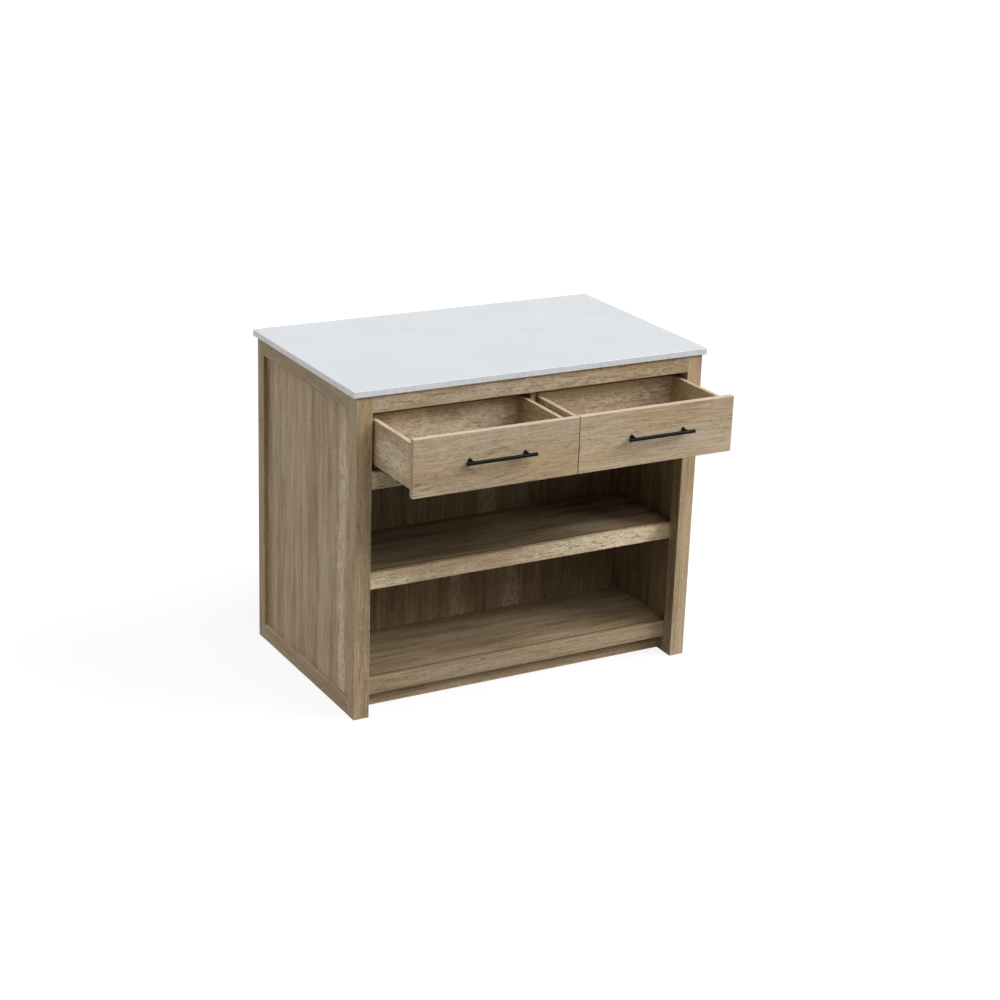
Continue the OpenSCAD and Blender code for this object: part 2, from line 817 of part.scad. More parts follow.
worktop();
front_post(left);  // left_front_post
front_post(right);  // right_front_post
rear_stile(left);  // left_rear_stile
rear_stile(right);  // right_rear_stile
side_rail(left, top_rail_z);  // left_side_top_rail
side_rail(right, top_rail_z);  // right_side_top_rail
side_rail(left, 0);  // left_side_bottom_rail
side_rail(right, 0);  // right_side_bottom_rail
side_panel(left);  // left_side_panel
side_panel(right);  // right_side_panel
cross_rail(0, top_rail_z, front_rail_places);  // front_top_rail
cross_rail(0, under_rail_z, front_rail_places);  // under_drawer_rail
cross_rail(rear_rail_y, top_rail_z, rear_rail_places);  // rear_top_rail
drawer_divider();
drawer_deck();
shelf(mid_shelf_top);  // mid_shelf
shelf_front(mid_shelf_top);  // mid_shelf_front
shelf(bottom_shelf_top);  // bottom_shelf
shelf_front(bottom_shelf_top);  // bottom_shelf_front
toe_kick();
back_panel();
slide_packer(left);  // left_slide_packer
slide_packer(right);  // right_slide_packer
frame_dowels();
slide_screws();
drawer_front(left);  // left_drawer_front
drawer_front(right);  // right_drawer_front
box_side(left, box_x[0]);  // left_drawer_outer_side
box_side(right, box_x[0]);  // right_drawer_outer_side
box_side(left, box_x[1] - box_t);  // left_drawer_inner_side
box_side(right, box_x[1] - box_t);  // right_drawer_inner_side
drawer_back(left);  // left_drawer_back
drawer_back(right);  // right_drawer_back
drawer_bottom(left);  // left_drawer_bottom
drawer_bottom(right);  // right_drawer_bottom
handle_bar(left);  // left_handle_bar
handle_bar(right);  // right_handle_bar
handle_posts(left);  // left_handle_posts
handle_posts(right);  // right_handle_posts
handle_screws(left);  // left_handle_screws
handle_screws(right);  // right_handle_screws
cabinet_members(left);  // left_cabinet_members
cabinet_members(right);  // right_cabinet_members
middle_members(left);  // left_middle_members
middle_members(right);  // right_middle_members
drawer_members(left);  // left_drawer_members
drawer_members(right);  // right_drawer_members
lower_cages(left);  // left_lower_cages
lower_cages(right);  // right_lower_cages
lower_rollers(left);  // left_lower_rollers
lower_rollers(right);  // right_lower_rollers
upper_cages(left);  // left_upper_cages
upper_cages(right);  // right_upper_cages
upper_rollers(left);  // left_upper_rollers
upper_rollers(right);  // right_upper_rollers
slide_clips(left);  // left_slide_clips
slide_clips(right);  // right_slide_clips
clip_screws(left);  // left_clip_screws
clip_screws(right);  // right_clip_screws
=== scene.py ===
"""Kitchen island unit with two open drawers: finishes, edge bands, studio and camera.

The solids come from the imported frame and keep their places. This script gives each of
them a procedural finish, adds the thin edge bands of the drawers, and sets the studio.
The row frame is +X right, +Y back, +Z up, with the floor at zero. The scene is in metres.
Sizes and places of the unit are written in millimetres, and MM turns them into metres.
"""

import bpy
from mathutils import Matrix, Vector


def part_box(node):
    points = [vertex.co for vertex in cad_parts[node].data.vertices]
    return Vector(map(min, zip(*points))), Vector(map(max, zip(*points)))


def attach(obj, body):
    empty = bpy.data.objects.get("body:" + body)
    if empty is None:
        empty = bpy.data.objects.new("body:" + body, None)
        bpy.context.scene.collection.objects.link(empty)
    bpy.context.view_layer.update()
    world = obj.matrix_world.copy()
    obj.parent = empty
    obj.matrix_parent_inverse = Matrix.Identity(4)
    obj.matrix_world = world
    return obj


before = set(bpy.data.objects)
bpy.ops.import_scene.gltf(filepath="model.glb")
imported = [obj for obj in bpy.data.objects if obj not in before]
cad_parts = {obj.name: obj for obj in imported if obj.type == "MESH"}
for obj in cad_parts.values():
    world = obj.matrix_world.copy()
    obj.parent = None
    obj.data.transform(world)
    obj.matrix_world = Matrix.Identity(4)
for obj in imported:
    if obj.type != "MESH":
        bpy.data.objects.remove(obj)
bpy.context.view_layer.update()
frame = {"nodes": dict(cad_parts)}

import logging
from dataclasses import dataclass, field
from enum import Enum
from math import cos, radians, sin

import bmesh
import bpy
from mathutils import Matrix, Vector

LOG = logging.getLogger("kitchen_island")
MM = 0.001

# The curve between light and the tones of a screen.
SCREEN_STEPS = 255
TOE_END, TOE_SLOPE = 0.04045, 12.92
CURVE_SHIFT, CURVE_POWER = 0.055, 2.4

# Sockets of a Mix node that mixes colours.
MIX_SHARE, MIX_FIRST, MIX_SECOND, MIX_RESULT = 0, 6, 7, 2

# Corners of an object's bounding box, as Blender numbers them.
LOWEST, HIGHEST = 0, 6

# The value that noise lies about.
NOISE_MIDDLE = 0.5

# How the eased edges of a bar are rounded.
EASE_SEGMENTS, ROUND_PROFILE = 2, 0.5

Socket = bpy.types.NodeSocket
Triple = tuple[float, float, float]
Colour = tuple[float, float, float, float]
Feed = Socket | float | tuple[float, ...]


class Grain(Enum):
    """The axis that a board's grain runs along."""

    SIDEWAYS = 0
    BACKWARDS = 1
    UPRIGHT = 2


class Blend(Enum):
    """How one colour is laid over another."""

    COVER = "MIX"
    STAIN = "MULTIPLY"


class Side(Enum):
    """The two drawers, sides and slides, which mirror each other."""

    LEFT = "left"
    RIGHT = "right"

    @property
    def sign(self) -> int:
        """Minus one on the left, where X is negative."""
        return -1 if self is Side.LEFT else 1

    def node(self, name: str) -> str:
        """Name of this side's own node."""
        return f"{self.value}_{name}"


def metres(lengths: Triple) -> Triple:
    """Turns three lengths in millimetres into metres."""
    return tuple(length * MM for length in lengths)


@dataclass(frozen=True)
class Tone:
    """A colour as it is seen on a screen, with parts from 0 to 255."""

    red: float
    green: float
    blue: float

    @property
    def linear(self) -> Colour:
        """The colour as light, for a shader socket."""
        parts = (self.red, self.green, self.blue)
        return (*(self._light(part / SCREEN_STEPS) for part in parts), 1.0)

    @staticmethod
    def _light(part: float) -> float:
        """Amount of light behind one part of a colour, both from zero to one."""
        curve = ((part + CURVE_SHIFT) / (1 + CURVE_SHIFT)) ** CURVE_POWER
        return part / TOE_SLOPE if part <= TOE_END else curve


@dataclass(frozen=True)
class Spot:
    """A soft oval place on a board, such as a worn patch or a knot, in millimetres."""

    centre: Triple
    reach: Triple
    strength: float = 1.0


@dataclass(frozen=True)
class Slope:
    """A soft step: as a value goes from low to high, the result goes from start to end."""

    low: float
    high: float
    start: float = 0
    end: float = 1


@dataclass(frozen=True)
class Pattern:
    """A noise, with its scales per metre across the grain and along it.

    Its octaves, rough and warp are the detail, roughness and distortion of a Noise node.
    """

    across: float
    along: float
    octaves: float = 2
    rough: float = 0.5
    warp: float = 0

    @classmethod
    def even(cls, scale: float, octaves: float, rough: float, warp: float = 0) -> "Pattern":
        """A noise that is the same in all directions."""
        return cls(scale, scale, octaves, rough, warp)

    def scale(self, grain: Grain) -> Triple:
        """Scale along each axis on a board with this grain."""
        return tuple(self.along if axis == grain.value else self.across for axis in range(3))


# How far a face has to look along an axis to count as facing that way.
FACING = Slope(0.7, 0.9)

# The part of a spot at full strength, and how far noise frays its outline.
SPOT_CORE, SPOT_FRAY = 0.3, 3.0


class Recipe:
    """The shader nodes of one finish, or of the sky."""

    def __init__(self, name: str, sky: bool = False) -> None:
        """Starts an empty material, or an empty world for the sky.

        Args:
            name: Name of the material or world.
            sky: Whether it is the sky.
        """
        self.owner = (bpy.data.worlds if sky else bpy.data.materials).new(name)
        self.owner.use_nodes = True
        self.tree = self.owner.node_tree
        self.tree.nodes.clear()

    def add(self, kind: str, **settings: object) -> bpy.types.Node:
        """Adds a shader node.

        Args:
            kind: Node type without its ShaderNode prefix.
            **settings: Attributes of the node.

        Returns:
            The node.
        """
        node = self.tree.nodes.new("ShaderNode" + kind)
        for key, value in settings.items():
            setattr(node, key, value)
        return node

    def feed(self, socket: Socket, value: Feed) -> None:
        """Links a socket to an input, or sets the input's constant.

        Args:
            socket: The input.
            value: A socket or a constant.
        """
        if isinstance(value, bpy.types.NodeSocket):
            self.tree.links.new(value, socket)
        else:
            socket.default_value = value

    def math(self, operation: str, *values: Feed) -> Socket:
        """One arithmetic step.

        Args:
            operation: Name of the Math node's operation.
            *values: Sockets or numbers, in the node's order.

        Returns:
            The result.
        """
        node = self.add("Math", operation=operation)
        for socket, value in zip(node.inputs, values):
            self.feed(socket, value)
        return node.outputs[0]

    def plus(self, first: Feed, second: Feed) -> Socket:
        """The sum of two values."""
        return self.math("ADD", first, second)

    def minus(self, first: Feed, second: Feed) -> Socket:
        """The first value less the second."""
        return self.math("SUBTRACT", first, second)

    def times(self, first: Feed, second: Feed) -> Socket:
        """The product of two values."""
        return self.math("MULTIPLY", first, second)

    def scaled(self, value: Feed, factor: Feed, shift: Feed) -> Socket:
        """A value times a factor, plus a shift."""
        return self.math("MULTIPLY_ADD", value, factor, shift)

    def larger(self, first: Feed, second: Feed) -> Socket:
        """The larger of two values."""
        return self.math("MAXIMUM", first, second)

    def smaller(self, first: Feed, second: Feed) -> Socket:
        """The smaller of two values."""
        return self.math("MINIMUM", first, second)

    def size(self, value: Feed) -> Socket:
        """The value without its sign."""
        return self.math("ABSOLUTE", value)

    def seen(self) -> Socket:
        """One for rays from the camera, in gloss and through glass, zero for others.

        Returns:
            The mask.
        """
        path = self.add("LightPath").outputs
        direct = self.larger(path["Is Camera Ray"], path["Is Glossy Ray"])
        return self.larger(direct, path["Is Transmission Ray"])

    def place(self) -> Socket:
        """Coordinates that stay with the piece when it moves."""
        return self.add("TexCoord").outputs["Object"]

    def vector(self, operation: str, *values: Feed) -> Socket:
        """One vector step.

        Args:
            operation: Name of the Vector Math node's operation.
            *values: Sockets or triples, in the node's order.

        Returns:
            The result, which is a number for LENGTH.
        """
        node = self.add("VectorMath", operation=operation)
        for socket, value in zip(node.inputs, values):
            self.feed(socket, value)
        return node.outputs["Value" if operation == "LENGTH" else "Vector"]

    def split(self, vector: Socket) -> bpy.types.NodeOutputs:
        """The three parts of a vector.

        Args:
            vector: The vector.

        Returns:
            Sockets for X, Y and Z.
        """
        node = self.add("SeparateXYZ")
        self.feed(node.inputs[0], vector)
        return node.outputs

    def noise(self, where: Socket, pattern: Pattern, grain: Grain = Grain.UPRIGHT) -> Socket:
        """Noise, stretched along the grain where the pattern says so.

        Args:
            where: Coordinates.
            pattern: The noise's scales and its make-up.
            grain: The axis that it is stretched along.

        Returns:
            The noise, about its middle.
        """
        node = self.add("TexNoise")
        self.feed(node.inputs["Vector"], self.vector("MULTIPLY", where, pattern.scale(grain)))
        node.inputs["Scale"].default_value = 1
        node.inputs["Detail"].default_value = pattern.octaves
        node.inputs["Roughness"].default_value = pattern.rough
        node.inputs["Distortion"].default_value = pattern.warp
        return node.outputs[0]

    def grade(self, value: Socket, slope: Slope) -> Socket:
        """Eases a value over a slope.

        Args:
            value: The value.
            slope: Where the slope lies, and what it gives.

        Returns:
            The eased value.
        """
        node = self.add("MapRange", interpolation_type="SMOOTHSTEP")
        numbers = (value, slope.low, slope.high, slope.start, slope.end)
        for socket, number in zip(node.inputs, numbers):
            self.feed(socket, number)
        return node.outputs[0]

    def mix(self, share: Feed, first: Feed, second: Feed, how: Blend = Blend.COVER) -> Socket:
        """Mixes two colours.

        Args:
            share: How much of the second colour shows.
            first: The first colour.
            second: The second colour.
            how: How the second lies over the first.

        Returns:
            The colour.
        """
        node = self.add("Mix", data_type="RGBA", blend_type=how.value)
        self.feed(node.inputs[MIX_SHARE], share)
        self.feed(node.inputs[MIX_FIRST], first)
        self.feed(node.inputs[MIX_SECOND], second)
        return node.outputs[MIX_RESULT]

    def paint(
        self, colour: Feed, mask: Socket, tone: Tone, strength: float = 1, how: Blend = Blend.COVER
    ) -> Socket:
        """Lays a tone over a colour where a mask is on.

        Args:
            colour: The colour so far.
            mask: One where the tone lies, zero elsewhere.
            tone: The tone.
            strength: How much of the tone shows in the mask.
            how: How the tone lies over the colour.

        Returns:
            The colour.
        """
        share = mask if strength == 1 else self.times(mask, strength)
        return self.mix(share, colour, tone.linear, how)

    def ramp(self, value: Socket, stops: tuple[float, ...], tones: tuple[Tone, ...]) -> Socket:
        """Turns a value into a colour.

        Args:
            value: The value.
            stops: Where each tone lies, from low to high.
            tones: The tones.

        Returns:
            The colour.
        """
        node = self.add("ValToRGB")
        points = node.color_ramp.elements
        while len(points) < len(stops):
            points.new((stops[0] + stops[-1]) / 2)
        for point, stop, tone in zip(points, stops, tones):
            point.position = stop
            point.color = tone.linear
        self.feed(node.inputs[0], value)
        return node.outputs[0]

    def lean(self, axis: str) -> Socket:
        """How far the surface looks along an axis, from minus one to one."""
        return self.split(self.add("NewGeometry").outputs["Normal"])[axis]

    def upward(self) -> Socket:
        """One on faces that look up, zero on upright ones."""
        return self.grade(self.lean("Z"), FACING)

    def endways(self) -> Socket:
        """One on the left and right ends, zero on faces that look elsewhere."""
        return self.grade(self.size(self.lean("X")), FACING)

    def spot(self, where: Socket, spot: Spot, wobble: Socket) -> Socket:
        """A soft-edged oval mask.

        Args:
            where: Coordinates.
            spot: The oval.
            wobble: Noise that frays its outline.

        Returns:
            Its strength at the centre, zero outside.
        """
        offset = self.vector("SUBTRACT", where, metres(spot.centre))
        far = self.vector("LENGTH", self.vector("DIVIDE", offset, metres(spot.reach)))
        frayed = self.plus(far, self.scaled(wobble, SPOT_FRAY, -NOISE_MIDDLE * SPOT_FRAY))
        return self.grade(frayed, Slope(SPOT_CORE, 1, spot.strength, 0))

    def arris(self, where: Socket, low: Vector, high: Vector, width: float) -> Socket:
        """Mask of the edges of a box-shaped piece.

        Args:
            where: Coordinates.
            low: The piece's lowest corner.
            high: The piece's highest corner.
            width: How far the mask reaches from an edge, in metres.

        Returns:
            One at the edges, zero on the faces.
        """
        middle, half = (low + high) / 2, (high - low) / 2
        away = self.vector("ABSOLUTE", self.vector("SUBTRACT", where, tuple(middle)))
        first, second, third = self.split(self.vector("SUBTRACT", tuple(half), away))
        inner = self.smaller(self.larger(first, second), third)
        nearest_edge = self.larger(self.smaller(first, second), inner)
        return self.grade(nearest_edge, Slope(0, width, 1, 0))

    def finish(
        self, colour: Feed, roughness: Feed, height: Socket, depth: float, metallic: float = 0,
        gloss: float = 0.5,
    ) -> bpy.types.Material:
        """Ends the recipe with the shader.

        Args:
            colour: Base colour.
            roughness: Roughness.
            height: Relief for the bump.
            depth: Depth of the relief in millimetres.
            metallic: How metallic the surface is.
            gloss: Specular level.

        Returns:
            The material.
        """
        shader = self.add("BsdfPrincipled")
        self.feed(shader.inputs["Base Color"], colour)
        self.feed(shader.inputs["Roughness"], roughness)
        shader.inputs["Metallic"].default_value = metallic
        shader.inputs["Specular IOR Level"].default_value = gloss
        bump = self.add("Bump")
        bump.inputs["Strength"].default_value = 1
        bump.inputs["Distance"].default_value = depth * MM
        self.feed(bump.inputs["Height"], height)
        self.feed(shader.inputs["Normal"], bump.outputs[0])
        end = self.add("OutputMaterial")
        self.feed(end.inputs["Surface"], shader.outputs[0])
        return self.owner


def put_on(piece: bpy.types.Object, material: bpy.types.Material) -> None:
    """Sets a piece's only material.

    Args:
        piece: A CAD node or a new piece.
        material: The finish.
    """
    if not piece.material_slots:
        piece.data.materials.append(material)
    for slot in piece.material_slots:
        slot.material = material
    LOG.info("%s: %s", piece.name, material.name)


@dataclass(frozen=True)
class OakTones:
    """The tones of the printed oak, dark to light."""

    pore: Tone = Tone(98, 78, 56)
    dark: Tone = Tone(130, 108, 80)
    brown: Tone = Tone(157, 136, 106)
    warm: Tone = Tone(178, 153, 119)
    greige: Tone = Tone(178, 159, 130)
    pale: Tone = Tone(196, 179, 150)
    cream: Tone = Tone(212, 198, 170)
    knot: Tone = Tone(118, 88, 60)
    crack: Tone = Tone(158, 144, 126)
    # Joint line: partly the glue line, partly painted shade of the gap between two boards.
    joint: Tone = Tone(44, 33, 24)
    edge: Tone = Tone(198, 185, 170)


COOL = OakTones(
    brown=Tone(157, 138, 112),
    greige=Tone(178, 161, 137),
    pale=Tone(195, 181, 157),
    cream=Tone(226, 213, 190),
)
WARM = OakTones(cream=Tone(224, 204, 170))
BAND_TONES = OakTones(
    pore=Tone(150, 130, 108),
    brown=Tone(176, 158, 134),
    warm=Tone(190, 172, 148),
    greige=Tone(194, 178, 156),
    pale=Tone(206, 192, 172),
)


@dataclass(frozen=True)
class OakPrint:
    """The printed oak pattern that every board is cut from."""

    cut_step: Triple = (1.37, 2.11, 0.73)

    bands: Pattern = Pattern(15, 1.2, 3, 0.5, 0.2)
    fibre: Pattern = Pattern(230, 9, 3, 0.62)
    short: Pattern = Pattern(420, 95, 2, 0.6)
    streaks: Pattern = Pattern(32, 2.8, 4, 0.68, 0.3)
    band_share: float = 0.22
    fibre_share: float = 0.42
    short_share: float = 0.36
    middle: float = 0.49
    grey_stops: tuple[float, ...] = (0.36, 0.44, 0.52, 0.64)
    warm_stops: tuple[float, ...] = (0.36, 0.44, 0.53, 0.66)
    drift: Pattern = Pattern(7, 1.5, 3, 0.5, 0.3)
    even_warmth: float = 0.5
    drift_pull: float = 0.16
    drift_blur: float = 0.12

    crowd: Pattern = Pattern(15, 3.5, 3, 0.6)
    crowd_slope: Slope = Slope(0.42, 0.64, 0.1)
    dash_slope: Slope = Slope(0.60, 0.68)
    dash_share: float = 0.35
    checks: Pattern = Pattern(260, 20, 3, 0.6)
    check_slope: Slope = Slope(0.62, 0.68)
    check_share: float = 0.7

    heart_reach: float = 0.3
    heart_turn: float = 7
    wander: Pattern = Pattern(5, 0.9)
    wander_reach: float = 0.12
    sway: Pattern = Pattern(7, 2.0, 3)
    sway_reach: float = 0.09
    log_lean: float = 0.11
    log_depth: float = 0.10
    ring_rise: Slope = Slope(0.58, 0.9)
    ring_fall: Slope = Slope(1.0, 0.95)
    ring_gaps: Slope = Slope(0.60, 0.42)
    ring_places: Pattern = Pattern(9, 2.4, 3)
    ring_place_slope: Slope = Slope(0.44, 0.64, 0.05)

    flakes: Pattern = Pattern(125, 34, 5, 0.72, 0.6)
    flake_share: float = 0.7
    flake_slope: Slope = Slope(0.46, 0.57)
    flake_cover: float = 0.85
    cracks: Pattern = Pattern(190, 46, 4, 0.7, 0.6)
    crack_slope: Slope = Slope(0.45, 0.36)
    crack_cover: float = 0.9
    patches: Pattern = Pattern(16, 5, 5, 0.68, 0.3)
    patch_slope: Slope = Slope(0.40, 0.60)
    worn_cover: float = 0.5

    wear_width: float = 1.6
    seam_slope: Slope = Slope(1.2 * MM, 3.4 * MM, 0.85, 0)

    smoothest: float = 0.40
    fibre_roughness: float = 0.16
    flake_roughness: float = 0.12
    fibre_height: float = 0.6
    pore_depth: float = 0.8
    ring_depth: float = 0.4
    relief: float = 0.12
    gloss: float = 0.08


PRINT = OakPrint()


@dataclass(frozen=True)
class Blank:
    """A board's recipe, its corners, and the coordinates and noises that its parts share."""

    recipe: Recipe
    low: Vector
    high: Vector
    here: Socket
    cut: Socket
    fibre: Socket
    short: Socket


@dataclass(frozen=True)
class Oak:
    """Greige oak laminate on one board, with its own cut of the pattern."""

    grain: Grain
    seed: float
    # Scales the board's whole colour. It is partly the board's own tone and partly painted light
    # and painted shade: above one the board is painted as if more brightly lit, below one as if in
    # shade.
    tone_and_painted_light: float = 1.0
    warmth: float = 0.5
    flake: float = 0.0
    rings: float = 0.35
    ring_gap: float = 9
    checks: float = 1.0
    bold: float = 0.15
    contrast: float = 1.0
    wear: float = 0.35
    seam: float | None = None
    figure: tuple[Spot, ...] = ()
    worn: tuple[Spot, ...] = ()
    knots: tuple[Spot, ...] = ()
    pale_top: float = 0.0
    dark_top: float = 0.0
    tones: OakTones = OakTones()

    def dress(self, node: bpy.types.Object) -> None:
        """Gives a board this finish.

        Args:
            node: The board.
        """
        low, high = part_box(node.name)
        put_on(node, self.material(f"oak_{node.name}", low, high))

    def material(self, name: str, low: Vector, high: Vector) -> bpy.types.Material:
        """Makes the material of a board.

        Args:
            name: Name of the material.
            low: The board's lowest corner.
            high: The board's highest corner.

        Returns:
            The material.
        """
        recipe = Recipe(name)
        here = recipe.place()
        cut = recipe.vector("ADD", here, tuple(self.seed * step for step in PRINT.cut_step))
        fibre = recipe.noise(cut, PRINT.fibre, self.grain)
        short = recipe.noise(cut, PRINT.short, self.grain)
        blank = Blank(recipe, low, high, here, cut, fibre, short)
        rings, pores = self._rings(blank), self._pores(blank)

        colour = recipe.paint(self._wood(blank), rings, self.tones.dark, self.rings)
        colour = recipe.paint(colour, pores, self.tones.pore)
        colour, flakes = self._flakes(blank, colour)
        for knot in self.knots:
            colour = recipe.paint(colour, recipe.spot(here, knot, fibre), self.tones.knot)
        # Painted light and painted shade, with the board's own tone: the whole colour is scaled by
        # one factor.
        tone_and_painted_light = (self.tone_and_painted_light, self.tone_and_painted_light, self.tone_and_painted_light, 1)
        colour = recipe.mix(1.0, colour, tone_and_painted_light, Blend.STAIN)
        edges = recipe.arris(here, low, high, PRINT.wear_width * MM)
        colour = recipe.paint(colour, edges, self.tones.edge, self.wear)
        colour = self._edging(blank, colour)

        roughness = recipe.scaled(fibre, PRINT.fibre_roughness, PRINT.smoothest)
        roughness = recipe.scaled(flakes, PRINT.flake_roughness, roughness)
        height = recipe.scaled(fibre, PRINT.fibre_height, recipe.times(pores, -PRINT.pore_depth))
        height = recipe.scaled(rings, -PRINT.ring_depth, height)
        return recipe.finish(colour, roughness, height, PRINT.relief, gloss=PRINT.gloss)

    def _wood(self, blank: Blank) -> Socket:
        """The printed grain, in grey and warm tones that drift into each other.

        Args:
            blank: The board.

        Returns:
            The colour.
        """
        recipe, cut, tones = blank.recipe, blank.cut, self.tones
        bands = recipe.noise(cut, PRINT.bands, self.grain)
        streaks = recipe.noise(cut, PRINT.streaks, self.grain)
        level = recipe.times(blank.short, PRINT.short_share)
        level = recipe.scaled(bands, PRINT.band_share, level)
        level = recipe.scaled(blank.fibre, PRINT.fibre_share, level)
        level = recipe.plus(level, recipe.scaled(streaks, self.bold, -NOISE_MIDDLE * self.bold))
        level = recipe.scaled(level, self.contrast, PRINT.middle * (1 - self.contrast))
        cold = (tones.dark, tones.brown, tones.greige, tones.pale)
        warm = (tones.dark, tones.brown, tones.warm, tones.pale)
        tip = NOISE_MIDDLE + PRINT.drift_pull * (PRINT.even_warmth - self.warmth)
        drift = recipe.grade(
            recipe.noise(cut, PRINT.drift, self.grain),
            Slope(tip - PRINT.drift_blur, tip + PRINT.drift_blur),
        )
        return recipe.mix(
            drift,
            recipe.ramp(level, PRINT.grey_stops, cold),
            recipe.ramp(level, PRINT.warm_stops, warm),
        )

    def _pores(self, blank: Blank) -> Socket:
        """Short dark dashes and longer checks, which crowd together in places.

        Args:
            blank: The board.

        Returns:
            One in a pore, zero between them.
        """
        recipe, cut = blank.recipe, blank.cut
        crowd = recipe.grade(recipe.noise(cut, PRINT.crowd, self.grain), PRINT.crowd_slope)
        checks = recipe.grade(recipe.noise(cut, PRINT.checks, self.grain), PRINT.check_slope)
        dashes = recipe.grade(blank.short, PRINT.dash_slope)
        pores = recipe.larger(
            recipe.times(dashes, PRINT.dash_share), recipe.times(checks, PRINT.check_share)
        )
        return recipe.times(recipe.times(pores, crowd), self.checks)

    def _rings(self, blank: Blank) -> Socket:
        """Growth rings of a log that leans against the board, so they show as long arches.

        Args:
            blank: The board.

        Returns:
            One on a ring, zero between rings.
        """
        recipe, cut, low, high = blank.recipe, blank.cut, blank.low, blank.high
        size = high - low
        flat = [axis for axis in range(3) if axis != self.grain.value]
        across = max(flat, key=lambda axis: size[axis])
        where = recipe.split(blank.here)
        heart = (low[across] + high[across]) / 2
        heart += size[across] * PRINT.heart_reach * sin(self.seed * PRINT.heart_turn)
        wander = recipe.noise(cut, PRINT.wander, self.grain)
        shift = -NOISE_MIDDLE * PRINT.wander_reach - heart
        aside = recipe.plus(where[across], recipe.scaled(wander, PRINT.wander_reach, shift))
        sway = recipe.noise(cut, PRINT.sway, self.grain)
        below = recipe.scaled(where[self.grain.value], PRINT.log_lean, PRINT.log_depth)
        below = recipe.scaled(sway, PRINT.sway_reach, below)
        squares = recipe.plus(recipe.math("POWER", aside, 2), recipe.math("POWER", below, 2))
        turns = recipe.math("DIVIDE", recipe.math("SQRT", squares), self.ring_gap * MM)
        phase = recipe.math("FRACT", turns)
        lines = recipe.times(
            recipe.grade(phase, PRINT.ring_rise), recipe.grade(phase, PRINT.ring_fall)
        )
        places = recipe.noise(cut, PRINT.ring_places, self.grain)
        region = recipe.grade(places, PRINT.ring_place_slope)
        for spot in self.figure:
            region = recipe.larger(region, recipe.spot(blank.here, spot, sway))
        broken = recipe.times(recipe.grade(blank.fibre, PRINT.ring_gaps), region)
        return recipe.times(lines, broken)

    def _flakes(self, blank: Blank, colour: Socket) -> tuple[Socket, Feed]:
        """Cream flakes with dark cracks between them, thick in the worn places.

        Args:
            blank: The board.
            colour: The colour so far.

        Returns:
            The colour with its flakes, and how much they cover.
        """
        if not (self.flake or self.worn):
            return colour, 0.0
        recipe, cut, cream = blank.recipe, blank.cut, self.tones.cream
        patches = recipe.noise(cut, PRINT.patches, self.grain)
        amount = recipe.times(recipe.grade(patches, PRINT.patch_slope), self.flake)
        for spot in self.worn:
            place = recipe.spot(blank.here, spot, patches)
            colour = recipe.paint(colour, place, cream, PRINT.worn_cover)
            amount = recipe.larger(amount, place)
        fine = recipe.noise(cut, PRINT.flakes, self.grain)
        mottle = recipe.scaled(
            blank.short, 1 - PRINT.flake_share, recipe.times(fine, PRINT.flake_share)
        )
        light = recipe.times(recipe.grade(mottle, PRINT.flake_slope), amount)
        cracks = recipe.noise(cut, PRINT.cracks, self.grain)
        crack = recipe.times(recipe.grade(cracks, PRINT.crack_slope), amount)
        colour = recipe.paint(colour, light, cream, PRINT.flake_cover)
        colour = recipe.paint(colour, crack, self.tones.crack, PRINT.crack_cover, Blend.STAIN)
        return colour, light

    def _edging(self, blank: Blank, colour: Socket) -> Socket:
        """Paler or darker edging on the upward edge, and the dark joint line of a shelf, which is
        partly a glue line and partly painted shade of the gap between boards.

        Args:
            blank: The board.
            colour: The colour so far.

        Returns:
            The colour with what the board has of these.
        """
        recipe, tones = blank.recipe, self.tones
        if self.pale_top:
            colour = recipe.paint(colour, recipe.upward(), tones.edge, self.pale_top)
        if self.dark_top:
            up = recipe.upward()
            colour = recipe.paint(colour, up, tones.crack, self.dark_top, Blend.STAIN)
        # The dark joint line is partly a glue line and partly painted shade of the gap between the
        # shelf and its front board.
        if self.seam is not None:
            away = recipe.size(recipe.minus(recipe.split(blank.here)["Y"], self.seam * MM))
            colour = recipe.paint(colour, recipe.grade(away, PRINT.seam_slope), tones.joint)
        return colour


